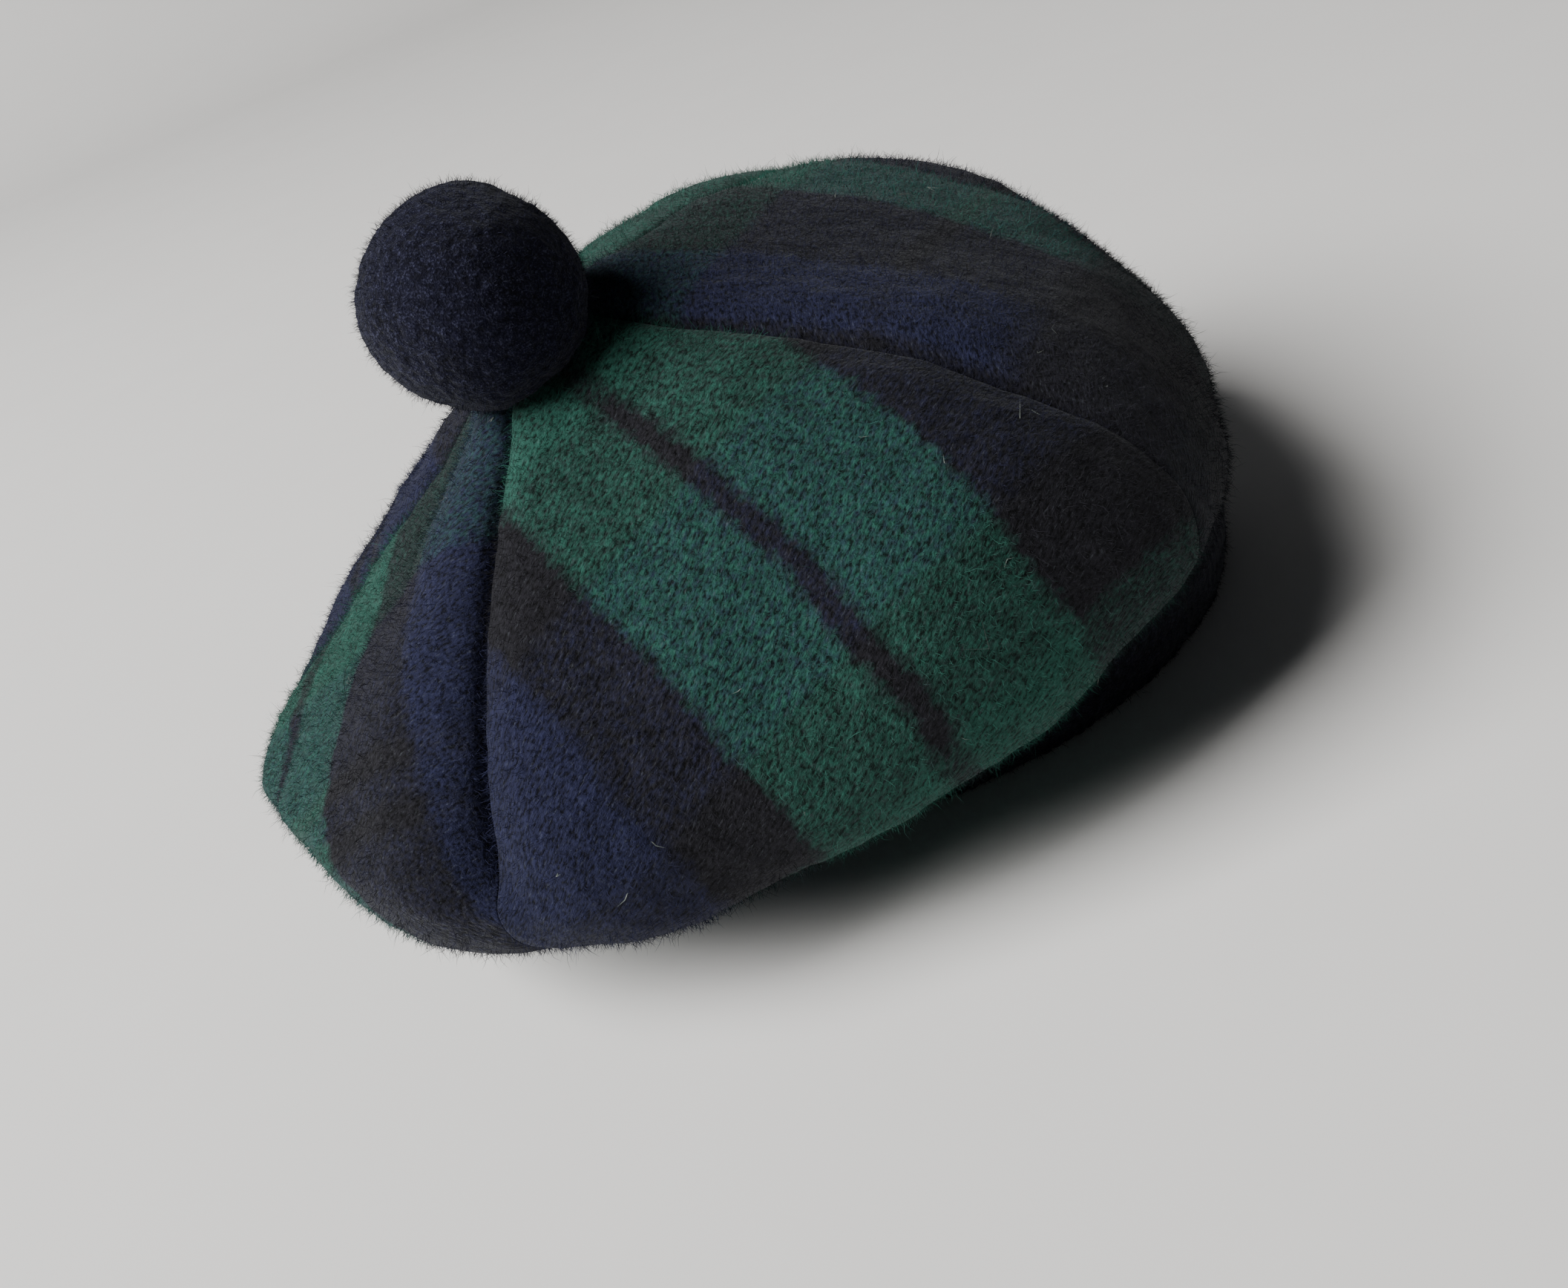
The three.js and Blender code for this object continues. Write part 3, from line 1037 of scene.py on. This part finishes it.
    def _roots(self, ring: bmesh.types.BMesh) -> Roots:
        """Picks roots for the fibres on the band's outside and foot."""
        ring.normal_update()
        random = np.random.default_rng(self.fuzz.seed)
        centre = self.form.middle
        faces = []
        for face in ring.faces:
            spot = face.calc_center_median()
            away = Vector((spot.x - centre.x, spot.y - centre.y, 0))
            if face.normal.dot(away) > 0 or spot.z < 2 * MM:
                faces.append((*spot, *face.normal, face.calc_area()))
        table = np.array(faces)
        chance = table[:, 6] / table[:, 6].sum()
        picked = table[random.choice(len(table), self.fuzz.count, p=chance)]
        shake = random.normal(scale=0.4 * MM, size=(self.fuzz.count, 3))
        normals = picked[:, 3:6]
        shake -= normals * (shake * normals).sum(1, keepdims=True)
        return Roots(picked[:, :3] + shake, normals)


# ------------------------ the pompom


@dataclass
class Pompom:
    """The felted ball over the point where the seams meet."""

    form: CrownForm
    finish: FeltFinish
    fuzz: Fuzz
    tuft: Fuzz
    node: str = "pompom"
    radius: float = 26 * MM
    stretch: float = 1.05
    lean: Triple = (-10 * MM, -10 * MM, 9.5 * MM)
    clearance: float = 1.0 * MM
    fineness: int = 7
    tuft_rise: float = 4 * MM  # how far over the crown the tuft grows
    tuft_facing: float = 0.55  # and how far forward its places face
    tuft_reach: float = 9 * MM
    lumps: tuple[Pair, ...] = (  # the size and height of each kind of bump
        (26 * MM, 0.5 * MM),
        (8 * MM, 0.16 * MM),
        (3.1 * MM, 0.12 * MM),
    )

    def build(self) -> None:
        """Makes the ball, its fibres and the tuft at its foot."""
        ball = bmesh.new()
        bmesh.ops.create_icosphere(ball, subdivisions=self.fineness, radius=self.radius)
        lean = np.array(self.lean)
        axis = unit(lean)
        pole = self.form.placed(np.array(self.form.pole))
        round_places = places_of(ball)
        way = unit(round_places)
        places = round_places + axis * (round_places @ axis)[:, None] * (self.stretch - 1)
        for number, (size, height) in enumerate(self.lumps):
            raised = Ripple(size, 40 + number).at(round_places) * height
            places = places + way * raised[:, None]
        places = places + pole + lean
        sunk = self.form.height_over(places[:, 0], places[:, 1]) + self.clearance - places[:, 2]
        places[:, 2] += np.maximum(sunk, 0)
        move_to(ball, places)
        mesh = to_mesh("pompom_felt", ball)
        piece = finished("pompom_felt", mesh, self.finish.surface())
        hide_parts(self.node)
        self._grow(places, way, sunk)
        log.info("%s: %d vertices", self.node, len(places))

    def _grow(self, places: Array, way: Array, sunk: Array) -> None:
        """Grows the fibres on the ball and the tuft beside its foot.

        Args:
            places: the ball's vertices.
            way: the way out at each of them.
            sunk: how far each would lie in the crown, below 0 where it is clear.
        """
        random = np.random.default_rng(self.fuzz.seed)
        clear = np.flatnonzero(sunk < 0)
        picked = random.choice(clear, self.fuzz.count)
        shake = random.normal(scale=0.3 * MM, size=(self.fuzz.count, 3))
        roots = Roots(places[picked] + shake - way[picked] * 0.2 * MM, way[picked])
        fibres = self.fuzz.ribbons("pompom_fibres", roots)
        finished("pompom_fibres", fibres, self.finish.fibres())
        forward = (sunk > -self.tuft_rise) & (sunk < 0) & (way[:, 0] > self.tuft_facing)
        spot = places[forward].mean(0)
        near = np.flatnonzero(forward & (np.linalg.norm(places - spot, axis=1) < self.tuft_reach))
        picked = random.choice(near, self.tuft.count)
        tuft = self.tuft.ribbons("pompom_tuft", Roots(places[picked], way[picked]))
        finished("pompom_tuft", tuft, self.finish.fibres())


# ------------------------ the studio


@dataclass
class Studio:
    """A pale sweep of floor, one soft key light from the hat's back, and the camera."""

    floor_half: float = 3.2
    rise_from: float = 2.2  # how far behind the hat the floor starts to rise
    rise: float = 0.9
    floor_colour: Colour = (0.82, 0.815, 0.81, 1.0)
    key_from: Triple = (-2.7, -0.4, 2.75)
    key_aim: Triple = (0.0, 0.0, 70 * MM)
    key_size: float = 2.4
    key_power: float = 320.0
    key_tint: Triple = (1.0, 0.985, 0.96)
    sky: float = 0.03
    sky_tint: Colour = (0.93, 0.96, 1.0, 1.0)
    target: Triple = (2.3 * MM, -8.9 * MM, 23.2 * MM)
    azimuth: float = -10.4
    elevation: float = 30.2
    roll: float = -21.9
    distance: float = 446 * MM
    lens: float = 35.3
    sensor: float = 36.0

    def build(self) -> None:
        """Makes everything round the hat."""
        self._camera()
        self._floor()
        self._key()
        world = bpy.data.worlds.new("studio")
        world.use_nodes = True
        background = world.node_tree.nodes["Background"]
        background.inputs["Color"].default_value = self.sky_tint
        background.inputs["Strength"].default_value = self.sky
        bpy.context.scene.world = world

    def _camera(self) -> None:
        """Makes the camera, turned about its own line of sight."""
        azimuth, elevation, roll = map(math.radians, (self.azimuth, self.elevation, self.roll))
        flat = math.cos(elevation)
        back = Vector((math.sin(azimuth) * flat, -math.cos(azimuth) * flat, math.sin(elevation)))
        level = Vector((math.cos(azimuth), math.sin(azimuth), 0))
        upright = back.cross(level)
        right = level * math.cos(roll) + upright * math.sin(roll)
        up = upright * math.cos(roll) - level * math.sin(roll)
        lens = bpy.data.cameras.new("camera")
        lens.lens = self.lens
        lens.sensor_width = self.sensor
        lens.clip_start = 0.01
        camera = linked("camera", lens)
        place = Vector(self.target) + back * self.distance
        camera.matrix_world = Matrix([*zip(right, up, back, place), (0, 0, 0, 1)])
        bpy.context.scene.camera = camera

    def _floor(self) -> None:
        """Makes the floor, which rises far behind the hat."""
        sweep = bmesh.new()
        bmesh.ops.create_grid(sweep, x_segments=60, y_segments=60, size=self.floor_half)
        places = places_of(sweep)
        beyond = np.clip(places[:, 1] - self.rise_from, 0, None)
        places[:, 2] = self.rise * (beyond / (self.floor_half - self.rise_from)) ** 2
        move_to(sweep, places)
        floor = linked("floor", to_mesh("floor", sweep))
        bench = Bench("pale_floor")
        cloudy = bench.noise(bench.object_place(), 0.09, 3.0)
        colour = bench.dim(self.floor_colour, cloudy * 0.05 + 0.975)
        inputs = {"Base Color": colour, "Roughness": 0.9}
        shader = bench.node("ShaderNodeBsdfPrincipled", None, inputs)
        bench.node("ShaderNodeOutputMaterial", None, {"Surface": shader.outputs[0]})
        floor.data.materials.append(bench.material)

    def _key(self) -> None:
        """Makes the key, a square lamp that faces the hat."""
        data = bpy.data.lights.new("key", "AREA")
        data.size = self.key_size
        data.energy = self.key_power
        data.color = self.key_tint
        lamp = linked("key", data)
        lamp.location = self.key_from
        aim = Vector(self.key_aim) - Vector(self.key_from)
        lamp.rotation_euler = aim.to_track_quat("-Z", "Y").to_euler()


# ------------------------ the hat

# painted highlight: the strays' pale colour stands in for light caught on loose hairs
STRAY_HIGHLIGHT = FeltFinish(
    "pale_wool",
    dye=(0.12, 0.14, 0.13, 1.0),
    pale=(0.3, 0.32, 0.3, 1.0),
    tuft=1.0 * MM,
    depth=0.1 * MM,
)

EDGE = -999.0  # a start that lies off the cloth

NAP = {"length": (1.2 * MM, 3.0 * MM), "width": 0.09 * MM, "stand": (0.15, 0.75), "curl": 0.6}

CUTS = (  # the gores in seam order: node, fibres in the nap, cloth
    (
        "gore_near",
        34000,
        CheckFinish(
            "near_check",
            grain=-7,
            warp=stripes((EDGE, N), (-64, K), (-41, G), (-9.5, K), (-2.5, G), (30.5, K), (84, N)),
            weft=stripes((EDGE, G), (40, K), (74, N), (128, K), (160, G), (204, K)),
            weft_share=0.3,
            mottle=0.52,
        ),
    ),
    (
        "gore_front",
        42000,
        CheckFinish(
            "front_check",
            grain=45,
            warp=stripes((EDGE, K), (1, N), (31, K), (76, G), (119, K), (155, N), (195, K)),
            weft=stripes((EDGE, G), (41, N), (84, K), (91, N), (125, K), (161, G), (204, K)),
            # the front gore's lower cloth: its black weft, with painted shade laid over it
            weft_cover_and_shade=Stripe(120, K),
        ),
    ),
    (
        "gore_far",
        46000,
        CheckFinish(
            "far_check",
            grain=45,
            warp=stripes(
                (EDGE, G), (25, K), (58, N), (98, K), (105, N),
                (112, K), (119, N), (160, K), (196, G),
            ),
            weft=stripes((EDGE, N), (22, G), (66, K), (75, G), (118, K), (154, N), (194, K)),
        ),
    ),
    (
        "gore_back",
        30000,
        CheckFinish(
            "back_check",
            grain=-45,
            warp=stripes((EDGE, K), (-165, G), (-121, K), (-112, G), (-68, K), (-28, N)),
            weft=stripes((EDGE, G), (62, N), (104, K), (111, N), (118, K), (125, N)),
        ),
    ),
)

KNIT = FeltFinish(
    "band_knit",
    dye=(0.003, 0.0032, 0.0085, 1.0),
    pale=(0.03, 0.032, 0.055, 1.0),
    tuft=2.4 * MM,
    depth=0.7 * MM,
)
FELT = FeltFinish(
    "ball_felt",
    dye=(0.003, 0.0031, 0.011, 1.0),
    pale=(0.062, 0.066, 0.12, 1.0),
    tuft=1.5 * MM,
    depth=1.1 * MM,
    sheen=0.1,
)


def main() -> None:
    """Builds the hat and its studio, and logs each piece."""
    logging.basicConfig(level=logging.INFO, format="%(name)s: %(message)s")
    Studio().build()
    low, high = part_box("headband")
    form = CrownForm(middle=(low + high) / 2)
    band_fuzz = Fuzz(9000, (1.0 * MM, 2.4 * MM), 0.09 * MM, (0.2, 0.8), 0.9, seed=31)
    Headband(form, KNIT, band_fuzz).build()
    for index, (node, fibres, finish) in enumerate(CUTS):
        nap = Fuzz(fibres, seed=21 + index, **NAP)
        strays = Fuzz(26, (3.0 * MM, 8.0 * MM), 0.2 * MM, (0.0, 0.2), 1.1, seed=50 + index)
        Gore(index, node, finish, nap, strays, form).build()
    loose = Fuzz(13000, (0.8 * MM, 2.3 * MM), 0.075 * MM, (0.5, 1.0), 1.2, seed=32, long_share=0.05)
    tuft = Fuzz(60, (3.0 * MM, 6.0 * MM), 0.16 * MM, (0.5, 0.9), 0.5, (0.2, 0.0, 0.4), seed=33)
    Pompom(form, FELT, loose, tuft).build()


if __name__ == "__main__":
    main()
